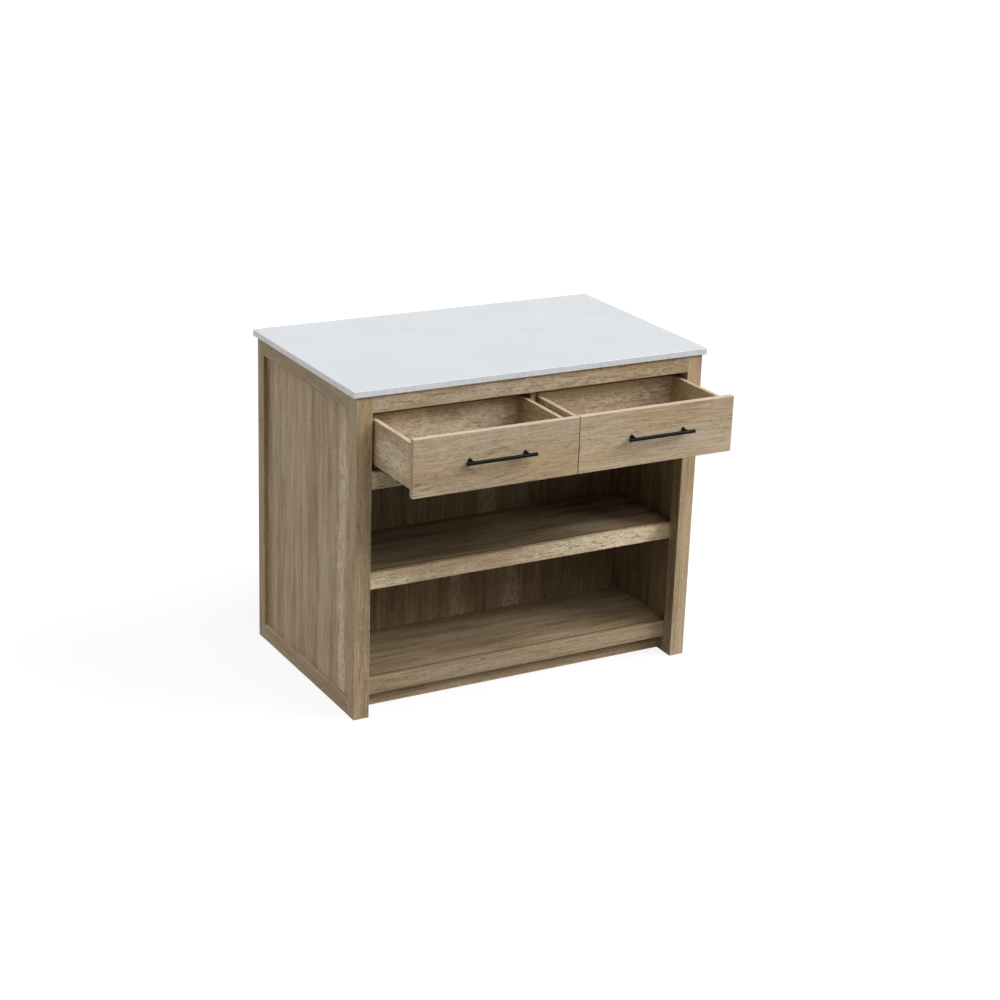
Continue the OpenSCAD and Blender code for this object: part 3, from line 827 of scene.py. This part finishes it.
@dataclass(frozen=True)
class Quartz:
    """Polished pale engineered stone, with faint grey veins, mottled edges, and ends painted paler
    as painted light.
    """

    ground: Tone = Tone(197, 200, 203)
    cloud: Tone = Tone(191, 196, 200)
    vein: Tone = Tone(164, 172, 181)
    speck: Tone = Tone(211, 214, 217)
    edge: Tone = Tone(227, 229, 234)
    # Tone of the left and right ends, paler than the other edges: painted light, as if the ends
    # were lit from the side.
    end: Tone = Tone(248, 246, 245)

    clouds: Pattern = Pattern.even(4, 3, 0.55, 0.3)
    cloud_slope: Slope = Slope(0.36, 0.64)
    cloud_share: float = 0.7
    veins: tuple[Pattern, ...] = (Pattern(6, 4.2, 5, 0.6, 0.5), Pattern(15, 10.5, 5, 0.6, 0.5))
    vein_widths: tuple[float, ...] = (0.010, 0.016)
    vein_breaks: Pattern = Pattern.even(11, 4, 0.65)
    break_slope: Slope = Slope(0.50, 0.66)
    vein_share: float = 0.32
    grit: Pattern = Pattern.even(900, 2, 0.7)
    grit_slope: Slope = Slope(0.62, 0.74)
    grit_share: float = 0.35
    mottle: Pattern = Pattern.even(70, 4, 0.65)
    mottle_slope: Slope = Slope(0.44, 0.62)
    mottle_share: float = 0.25
    edge_share: float = 0.9
    smoothest: float = 0.3
    cloud_roughness: float = 0.04
    relief: float = 0.002
    gloss: float = 0.15

    def material(self) -> bpy.types.Material:
        """Makes the material.

        Returns:
            The material.
        """
        recipe = Recipe("quartz_top")
        here = recipe.place()
        clouds = recipe.grade(recipe.noise(here, self.clouds), self.cloud_slope)
        colour = recipe.paint(self.ground.linear, clouds, self.cloud, self.cloud_share)
        veins = 0.0
        for pattern, width in zip(self.veins, self.vein_widths):
            wander = recipe.noise(here, pattern, Grain.BACKWARDS)
            off = recipe.size(recipe.minus(wander, NOISE_MIDDLE))
            veins = recipe.larger(veins, recipe.grade(off, Slope(0, width, 1, 0)))
        breaks = recipe.grade(recipe.noise(here, self.vein_breaks), self.break_slope)
        colour = recipe.paint(colour, recipe.times(veins, breaks), self.vein, self.vein_share)
        grit = recipe.noise(here, self.grit)
        specks = recipe.grade(grit, self.grit_slope)
        colour = recipe.paint(colour, specks, self.speck, self.grit_share)

        rim = recipe.times(recipe.minus(1.0, recipe.upward()), self.edge_share)
        # The ends are painted paler still, as painted light.
        edge = recipe.paint(self.edge.linear, recipe.endways(), self.end)
        mottle = recipe.grade(recipe.noise(here, self.mottle), self.mottle_slope)
        edge = recipe.paint(edge, mottle, self.vein, self.mottle_share)
        colour = recipe.mix(rim, colour, edge)
        roughness = recipe.scaled(clouds, self.cloud_roughness, self.smoothest)
        return recipe.finish(colour, roughness, grit, self.relief, gloss=self.gloss)


@dataclass(frozen=True)
class Polymer:
    """Polymer with a fine even texture and patches of a second tone.

    Its own numbers are those of moulded parts, with their spark finish and flow marks.
    """

    name: str
    face: Tone
    second: Tone
    fine: Pattern = Pattern.even(1600, 2, 0.6)
    patches: Pattern = Pattern(35, 90, 3)
    patch_slope: Slope = Slope(0.35, 0.68)
    patch_share: float = 1
    smoothest: float = 0.42
    fine_roughness: float = 0.18
    relief: float = 0.02
    gloss: float = 0.5

    def material(self) -> bpy.types.Material:
        """Makes the material.

        Returns:
            The material.
        """
        recipe = Recipe(self.name)
        here = recipe.place()
        fine = recipe.noise(here, self.fine)
        patches = recipe.noise(here, self.patches, Grain.BACKWARDS)
        mask = recipe.grade(patches, self.patch_slope)
        colour = recipe.paint(self.face.linear, mask, self.second, self.patch_share)
        roughness = recipe.scaled(fine, self.fine_roughness, self.smoothest)
        return recipe.finish(colour, roughness, fine, self.relief, gloss=self.gloss)


@dataclass(frozen=True)
class PowderCoat(Polymer):
    """Matt black powder coat with its fine orange peel and faintly rubbed patches."""

    name: str = "black_powder_coat"
    face: Tone = Tone(6, 6, 6)
    second: Tone = Tone(13, 13, 13)
    fine: Pattern = Pattern.even(1400, 3, 0.6)
    patches: Pattern = Pattern.even(60, 4, 0.7)
    patch_slope: Slope = Slope(0.5, 0.75)
    patch_share: float = 0.4
    smoothest: float = 0.17
    fine_roughness: float = 0.12
    relief: float = 0.01
    gloss: float = 0.07


@dataclass(frozen=True)
class Grained:
    """A surface with fine marks along one axis over a coarser pattern.

    Its own numbers are those of plain close-grained wood, such as a beech dowel.
    """

    name: str
    grain: Grain
    light: Tone
    dark: Tone
    fine: Pattern = Pattern(420, 40, 3, 0.65)
    coarse: Pattern = Pattern(22, 1.4, 3, 0.5, 0.3)
    fine_share: float = 0.45
    smoothest: float = 0.5
    fine_roughness: float = 0.15
    relief: float = 0.05
    metallic: float = 0
    stops: tuple[float, float] = (0.38, 0.6)

    def material(self) -> bpy.types.Material:
        """Makes the material.

        Returns:
            The material.
        """
        recipe = Recipe(self.name)
        here = recipe.place()
        fine = recipe.noise(here, self.fine, self.grain)
        coarse = recipe.noise(here, self.coarse, self.grain)
        level = recipe.scaled(fine, self.fine_share, recipe.times(coarse, 1 - self.fine_share))
        colour = recipe.ramp(level, self.stops, (self.dark, self.light))
        roughness = recipe.scaled(fine, self.fine_roughness, self.smoothest)
        return recipe.finish(colour, roughness, fine, self.relief, metallic=self.metallic)


@dataclass(frozen=True)
class Zinc(Grained):
    """Zinc plate with rolling marks along one axis, over its spangle."""

    light: Tone = Tone(158, 160, 162)
    dark: Tone = Tone(112, 115, 118)
    fine: Pattern = Pattern(900, 25, 3, 0.6)
    coarse: Pattern = Pattern.even(120, 2, 0.5, 1.2)
    fine_share: float = 0.6
    smoothest: float = 0.22
    fine_roughness: float = 0.25
    relief: float = 0.01
    metallic: float = 1


@dataclass
class Worktop:
    """The stone slab."""

    nodes: dict[str, bpy.types.Object]
    stone: Quartz = Quartz()

    def dress(self) -> None:
        """Gives the slab its finish."""
        put_on(self.nodes["worktop"], self.stone.material())


@dataclass
class SideFrame:
    """Front post, rear stile, two rails and panel of one side."""

    nodes: dict[str, bpy.types.Object]
    side: Side
    panel_face: float = 515

    def dress(self) -> None:
        """Gives each board its own cut of the oak, and the left panel its worn stripe."""
        stripe = Spot((-self.panel_face, -95, 430), (14, 35, 900))
        # The post and panel factors hold painted light and painted shade as well as the boards' own
        # tones: the right post is painted lighter, as if lit from the right, and the right panel
        # darker, as painted shade on its inner face inside the unit.
        if self.side is Side.LEFT:
            seed, post_tone_and_painted_light, panel_tone_and_painted_light, stripes = 3.1, 1.08, 1.14, (stripe,)
        else:
            seed, post_tone_and_painted_light, panel_tone_and_painted_light, stripes = 11.7, 1.22, 0.86, ()
        upright, back = Grain.UPRIGHT, Grain.BACKWARDS
        finishes = {
            "front_post": Oak(upright, seed, tone_and_painted_light=post_tone_and_painted_light, warmth=1.0, rings=0.25, bold=0.3),
            "rear_stile": Oak(upright, seed + 1, warmth=0.8, rings=0.2, bold=0.3),
            "side_top_rail": Oak(back, seed + 2, warmth=0.8, rings=0.2, bold=0.25),
            "side_bottom_rail": Oak(back, seed + 3, warmth=0.9, rings=0.3, bold=0.25),
            "side_panel": Oak(
                upright, seed + 4, tone_and_painted_light=panel_tone_and_painted_light, warmth=1.0, rings=0.25, checks=0.6,
                bold=0.55, worn=stripes, tones=WARM,
            ),
        }
        for name, finish in finishes.items():
            finish.dress(self.nodes[self.side.node(name)])


@dataclass
class Carcass:
    """Rails, shelves, kick, divider, deck and back panel."""

    nodes: dict[str, bpy.types.Object]
    rail_face: float = -194.5
    shelf_front_face: float = -154.5
    seam: float = -136.5
    back_face: float = 136.5

    def dress(self) -> None:
        """Gives each board its own cut of the oak."""
        for name, finish in (self._rails() | self._shelves()).items():
            finish.dress(self.nodes[name])

    def _rails(self) -> dict[str, Oak]:
        """The finishes of the rails, the divider, the deck and the back panel.

        Returns:
            The finishes by node.
        """
        rail, back = self.rail_face, self.back_face
        # Cream flakes of the print at the rail's left end, spread high enough to paint that end
        # lighter where the open drawer shades it: partly painted light.
        worn_rail_and_painted_light = (Spot((-440, rail, 660), (120, 40, 60)),)
        worn_back = (
            Spot((138, back, 150), (30, 10, 230)),
            Spot((50, back, 430), (34, 10, 150), 0.8),
            Spot((-48, back, 140), (34, 10, 180), 0.6),
        )
        across, upright = Grain.SIDEWAYS, Grain.UPRIGHT
        # The under-drawer rail and the kick are painted lighter, partly painted light where they
        # lie in shade; the back panel is painted darker, as painted shade of the dim inside.
        return {
            "front_top_rail": Oak(
                across, 21.3, tone_and_painted_light=1.02, warmth=0.1, flake=0.4, bold=0.35, tones=COOL
            ),
            "under_drawer_rail": Oak(
                across, 22.9, tone_and_painted_light=1.16, warmth=1.5, flake=0.35, worn=worn_rail_and_painted_light, tones=WARM
            ),
            "rear_top_rail": Oak(across, 23.4),
            "drawer_divider": Oak(upright, 24.2),
            "drawer_deck": Oak(across, 25.8),
            "toe_kick": Oak(across, 30.5, tone_and_painted_light=1.2, warmth=2, bold=0.3),
            "back_panel": Oak(
                upright, 31.2, tone_and_painted_light=0.72, warmth=1.5, rings=0.15, checks=0.3, bold=0.5,
                worn=worn_back, tones=WARM,
            ),
        }

    def _shelves(self) -> dict[str, Oak]:
        """The finishes of the shelves and their front boards.

        Returns:
            The finishes by node.
        """
        across, front, seam = Grain.SIDEWAYS, self.shelf_front_face, self.seam
        worn_lip = (
            Spot((290, front, 374), (280, 40, 60)),
            Spot((-430, front, 366), (120, 40, 26), 0.8),
        )
        # The shelves are painted darker, as painted shade of the dim inside; the mid shelf's front
        # board is painted lighter, as painted light where the open drawers shade it.
        return {
            "mid_shelf": Oak(across, 26.1, tone_and_painted_light=0.70, warmth=0.6, bold=0.8, seam=seam),
            "mid_shelf_front": Oak(
                across, 27.7, tone_and_painted_light=1.54, flake=0.35, worn=worn_lip, dark_top=0.3, seam=seam
            ),
            "bottom_shelf": Oak(across, 28.3, tone_and_painted_light=0.76, warmth=0.6, bold=0.5, seam=seam),
            "bottom_shelf_front": Oak(across, 29.6, tone_and_painted_light=0.92, bold=0.3, dark_top=0.3, seam=seam),
        }


@dataclass
class Fixings:
    """Dowels, slide packers and the screws that hold the slides."""

    nodes: dict[str, bpy.types.Object]
    beech: Grained = Grained("beech_dowel", Grain.SIDEWAYS, Tone(214, 182, 142), Tone(176, 138, 98))
    packer: Grained = Grained(
        "packer_board", Grain.BACKWARDS, Tone(196, 180, 156), Tone(164, 146, 120)
    )
    screws: Zinc = Zinc("zinc_slide_screws", Grain.SIDEWAYS)

    def dress(self) -> None:
        """Gives the dowels, packers and screws their finishes."""
        put_on(self.nodes["frame_dowels"], self.beech.material())
        put_on(self.nodes["slide_screws"], self.screws.material())
        packer = self.packer.material()
        for side in Side:
            put_on(self.nodes[side.node("slide_packer")], packer)


@dataclass
class Drawer:
    """One drawer: front, box, bottom and the bands on the box's upward edges."""

    nodes: dict[str, bpy.types.Object]
    side: Side
    front_face: float = -419.5
    back_face: float = -148
    outer_face: float = -473
    band: float = 0.4
    band_ease: float = 0.15
    band_seed: float = 5.3
    bands: list[tuple[bpy.types.Object, Grain]] = field(default_factory=list)

    @property
    def body(self) -> str:
        """Name of the CAD body that the drawer's pieces ride on."""
        return self.side.node("drawer")

    def build(self) -> None:
        """Lays an edge band on the upward edge of each box board."""
        for name in ("drawer_outer_side", "drawer_inner_side"):
            self.bands.append((self._edge_band(self.side.node(name)), Grain.BACKWARDS))
        self.bands.append((self._edge_band(self.side.node("drawer_back")), Grain.SIDEWAYS))

    def _edge_band(self, node: str) -> bpy.types.Object:
        """A thin strip on a board's upward edge, with eased arrises.

        Args:
            node: The board.

        Returns:
            The strip.
        """
        low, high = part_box(node)
        top = high.z
        low, high = Vector((low.x, low.y, top)), Vector((high.x, high.y, top + self.band * MM))
        strip = rounded_bar(f"{node}_edge_band", low, high, self.band_ease * MM)
        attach(strip, self.body)
        return strip

    def dress(self) -> None:
        """Finishes the boards, the bottom and the bands."""
        boards = self._left_boards() if self.side is Side.LEFT else self._right_boards()
        for name, finish in boards.items():
            finish.dress(self.nodes[self.side.node(name)])
        light, dark = Tone(206, 190, 166), Tone(178, 160, 134)
        base = Grained(self.side.node("drawer_base"), Grain.SIDEWAYS, light, dark)
        put_on(self.nodes[self.side.node("drawer_bottom")], base.material())
        for strip, grain in self.bands:
            low, high = Vector(strip.bound_box[LOWEST]), Vector(strip.bound_box[HIGHEST])
            finish = Oak(grain, self.side.sign * self.band_seed, rings=0.1, tones=BAND_TONES)
            put_on(strip, finish.material(f"band_{strip.name}", low, high))

    def _left_boards(self) -> dict[str, Oak]:
        """The left drawer's cuts of the oak, with its knots and worn places.

        Returns:
            The finishes by board.
        """
        front, back, outer = self.front_face, self.back_face, self.outer_face
        across, backwards = Grain.SIDEWAYS, Grain.BACKWARDS
        figure = (Spot((-225, front, 800), (140, 30, 45)),)
        worn_front = (Spot((-405, front, 811), (26, 30, 5), 0.5),)
        knots = (
            Spot((-412, front, 745), (9, 30, 5), 0.6),
            Spot((-465, front, 728), (7, 30, 6), 0.5),
            Spot((-445, front, 738), (95, 30, 44), 0.16),
        )
        worn_side = (Spot((outer, -300, 772), (10, 110, 55)),)
        worn_back = (
            Spot((-150, back, 775), (110, 10, 60)),
            Spot((-340, back, 780), (140, 10, 60), 0.9),
        )
        # The front and outer side are painted lighter and the back darker: partly the boards' own
        # tones, partly painted light and painted shade.
        return {
            "drawer_front": Oak(
                across, 41.4, tone_and_painted_light=1.2, warmth=0.1, rings=0.9, ring_gap=8, checks=1.4,
                bold=0.05, contrast=0.75, figure=figure, worn=worn_front, knots=knots,
                pale_top=0.5, tones=COOL,
            ),
            "drawer_outer_side": Oak(
                backwards, 42.8, tone_and_painted_light=1.36, warmth=1.5, flake=0.7, worn=worn_side
            ),
            "drawer_inner_side": Oak(backwards, 43.1, warmth=0.6, flake=0.4, bold=0.4),
            "drawer_back": Oak(
                across, 44.6, tone_and_painted_light=0.84, warmth=0.2, flake=0.8, bold=0.3,
                worn=worn_back, tones=COOL,
            ),
        }

    def _right_boards(self) -> dict[str, Oak]:
        """The right drawer's cuts of the oak.

        Returns:
            The finishes by board.
        """
        across, backwards = Grain.SIDEWAYS, Grain.BACKWARDS
        # The front and back are painted lighter: partly the boards' own tones, partly painted
        # light.
        return {
            "drawer_front": Oak(
                across, 52.9, tone_and_painted_light=1.32, warmth=0, rings=0.6, checks=1.2, bold=0.05,
                contrast=0.85, pale_top=0.6, tones=COOL,
            ),
            "drawer_outer_side": Oak(backwards, 53.2, flake=0.4),
            "drawer_inner_side": Oak(backwards, 54.7, warmth=0.6, flake=0.3),
            "drawer_back": Oak(
                across, 55.1, tone_and_painted_light=1.08, warmth=0.3, flake=0.6, bold=0.4, tones=COOL
            ),
        }


@dataclass
class Handles:
    """The two black bar handles with their posts and screws."""

    nodes: dict[str, bpy.types.Object]
    coat: PowderCoat = PowderCoat()
    screws: Zinc = Zinc("zinc_handle_screws", Grain.BACKWARDS)

    def dress(self) -> None:
        """Gives the bars and posts their coat and the screws their zinc."""
        black, zinc = self.coat.material(), self.screws.material()
        for side in Side:
            put_on(self.nodes[side.node("handle_bar")], black)
            put_on(self.nodes[side.node("handle_posts")], black)
            put_on(self.nodes[side.node("handle_screws")], zinc)


@dataclass
class Slides:
    """The undermount slides of both drawers, with cages, rollers and clips."""

    nodes: dict[str, bpy.types.Object]
    steel: Zinc = Zinc("zinc_slide_steel", Grain.BACKWARDS)
    rollers: Zinc = Zinc("zinc_rollers", Grain.SIDEWAYS, Tone(222, 224, 227), Tone(182, 186, 191))
    screws: Zinc = Zinc("zinc_clip_screws", Grain.UPRIGHT)
    cages: Polymer = Polymer("cage_polymer", Tone(214, 212, 204), Tone(200, 197, 188))
    clips: Polymer = Polymer("clip_polymer", Tone(128, 131, 134), Tone(112, 115, 119))

    def dress(self) -> None:
        """Gives the steel, the rollers, the cages, the clips and their screws their finishes."""
        pieces = {
            self.steel: ("cabinet_members", "middle_members", "drawer_members"),
            self.rollers: ("lower_rollers", "upper_rollers"),
            self.cages: ("lower_cages", "upper_cages"),
            self.clips: ("slide_clips",),
            self.screws: ("clip_screws",),
        }
        for finish, names in pieces.items():
            material = finish.material()
            for side in Side:
                for name in names:
                    put_on(self.nodes[side.node(name)], material)


def rounded_bar(name: str, low: Vector, high: Vector, ease: float) -> bpy.types.Object:
    """A bar between two corners with all its edges eased.

    Args:
        name: Name of the piece.
        low: Lowest corner.
        high: Highest corner.
        ease: Radius of the eased edges, in metres.

    Returns:
        The piece, not yet riding on a body.
    """
    mesh = bpy.data.meshes.new(name)
    shape = bmesh.new()
    bmesh.ops.create_cube(shape, size=1)
    size, middle = high - low, (high + low) / 2
    placing = Matrix.Translation(middle) @ Matrix.Diagonal((*size, 1))
    bmesh.ops.transform(shape, matrix=placing, verts=shape.verts)
    bmesh.ops.bevel(
        shape,
        geom=shape.edges[:],
        offset=ease,
        segments=EASE_SEGMENTS,
        profile=ROUND_PROFILE,
        affect="EDGES",
    )
    bmesh.ops.recalc_face_normals(shape, faces=shape.faces)
    shape.to_mesh(mesh)
    shape.free()
    piece = bpy.data.objects.new(name, mesh)
    bpy.context.scene.collection.objects.link(piece)
    return piece


@dataclass(frozen=True)
class Lamp:
    """A wide, distant lamp, placed by where its light comes from, in degrees."""

    name: str
    from_left: float
    above: float
    strength: float
    spread: float
    distance: float = 3

    def hang(self) -> None:
        """Puts the lamp in the scene."""
        lamp = bpy.data.lights.new(self.name, "SUN")
        lamp.energy = self.strength
        lamp.angle = radians(self.spread)
        carrier = bpy.data.objects.new(self.name, lamp)
        side, up = radians(self.from_left), radians(self.above)
        source = Vector((-sin(side) * cos(up), -cos(side) * cos(up), sin(up)))
        carrier.rotation_mode = "QUATERNION"
        carrier.rotation_quaternion = source.to_track_quat("Z", "Y")
        carrier.location = source * self.distance
        bpy.context.scene.collection.objects.link(carrier)


@dataclass(frozen=True)
class Camera:
    """The photograph's camera, as fitted to the corners of the unit.

    Its place is in metres, its angles are in radians, and its focal length is in pixels
    of a square picture.
    """

    place: Triple = (-2.744405, -4.823024, 2.473940)
    turn: float = 0.51909904
    tilt: float = -0.34445295
    roll: float = 0.03481810
    focal: float = 2125.8956
    picture_side: float = 1000
    sensor: float = 36
    far: float = 100

    def stand(self) -> None:
        """Makes the camera and looks through it."""
        data = bpy.data.cameras.new("photo_camera")
        data.sensor_width = self.sensor
        data.lens = self.focal * self.sensor / self.picture_side
        data.clip_end = self.far
        level = cos(self.tilt)
        ahead = Vector((sin(self.turn) * level, cos(self.turn) * level, sin(self.tilt)))
        right = Vector((cos(self.turn), -sin(self.turn), 0))
        up = right.cross(ahead)
        rolled_right = cos(self.roll) * right + sin(self.roll) * up
        rolled_up = cos(self.roll) * up - sin(self.roll) * right
        axes = Matrix((rolled_right, rolled_up, -ahead)).transposed().to_4x4()
        camera = bpy.data.objects.new("photo_camera", data)
        camera.matrix_world = Matrix.Translation(self.place) @ axes
        bpy.context.scene.collection.objects.link(camera)
        bpy.context.scene.camera = camera


@dataclass
class Studio:
    """White floor and backdrop, lamps and camera. Its floor is measured in metres."""

    floor_half: float = 30.0
    floor_squares: int = 8
    floor_tone: Tone = Tone(118, 118, 119)
    floor_glow: float = 0.84
    sky: float = 0.04
    camera: Camera = Camera()
    lamps: tuple[Lamp, ...] = (
        Lamp("key_lamp", from_left=-60, above=42, strength=1.9, spread=35),
        Lamp("low_key_lamp", from_left=-58, above=30, strength=1.1, spread=45),
        Lamp("front_lamp", from_left=0, above=47, strength=0.85, spread=35),
        Lamp("top_lamp", from_left=0, above=85, strength=0.75, spread=50),
        Lamp("right_lamp", from_left=-95, above=12, strength=0.4, spread=50),
        Lamp("left_lamp", from_left=100, above=32, strength=0.75, spread=50),
        Lamp("back_lamp", from_left=165, above=10, strength=1.2, spread=40),
    )

    def build(self) -> None:
        """Sets up the whole studio."""
        self._floor()
        self._sky()
        for lamp in self.lamps:
            lamp.hang()
        self.camera.stand()

    def _floor(self) -> None:
        """A pale floor that is white in the picture but for the unit's shadow."""
        mesh = bpy.data.meshes.new("floor")
        shape = bmesh.new()
        squares = self.floor_squares
        bmesh.ops.create_grid(shape, x_segments=squares, y_segments=squares, size=self.floor_half)
        shape.to_mesh(mesh)
        shape.free()
        floor = bpy.data.objects.new("floor", mesh)
        bpy.context.scene.collection.objects.link(floor)
        recipe = Recipe("white_floor")
        matt = recipe.add("BsdfDiffuse")
        matt.inputs["Color"].default_value = self.floor_tone.linear
        glow = recipe.add("Emission")
        recipe.feed(glow.inputs["Strength"], recipe.times(recipe.seen(), self.floor_glow))
        both = recipe.add("AddShader")
        recipe.feed(both.inputs[0], matt.outputs[0])
        recipe.feed(both.inputs[1], glow.outputs[0])
        end = recipe.add("OutputMaterial")
        recipe.feed(end.inputs["Surface"], both.outputs[0])
        put_on(floor, recipe.owner)

    def _sky(self) -> None:
        """An even sky that is white in the picture."""
        sky = Recipe("studio_sky", sky=True)
        bpy.context.scene.world = sky.owner
        background = sky.add("Background")
        background.inputs["Color"].default_value = (1, 1, 1, 1)
        level = sky.scaled(sky.seen(), 1 - self.sky, self.sky)
        sky.feed(background.inputs["Strength"], level)
        end = sky.add("OutputWorld")
        sky.feed(end.inputs["Surface"], background.outputs[0])


def main() -> None:
    """Builds and dresses the unit and its studio."""
    logging.basicConfig(level=logging.INFO, format="%(message)s")
    nodes = frame["nodes"]
    scene = bpy.context.scene
    scene.view_settings.view_transform = "Standard"

    Worktop(nodes).dress()
    Carcass(nodes).dress()
    Fixings(nodes).dress()
    for side in Side:
        SideFrame(nodes, side).dress()
        drawer = Drawer(nodes, side)
        drawer.build()
        drawer.dress()
    Handles(nodes).dress()
    Slides(nodes).dress()
    Studio().build()


if __name__ == "__main__":
    main()
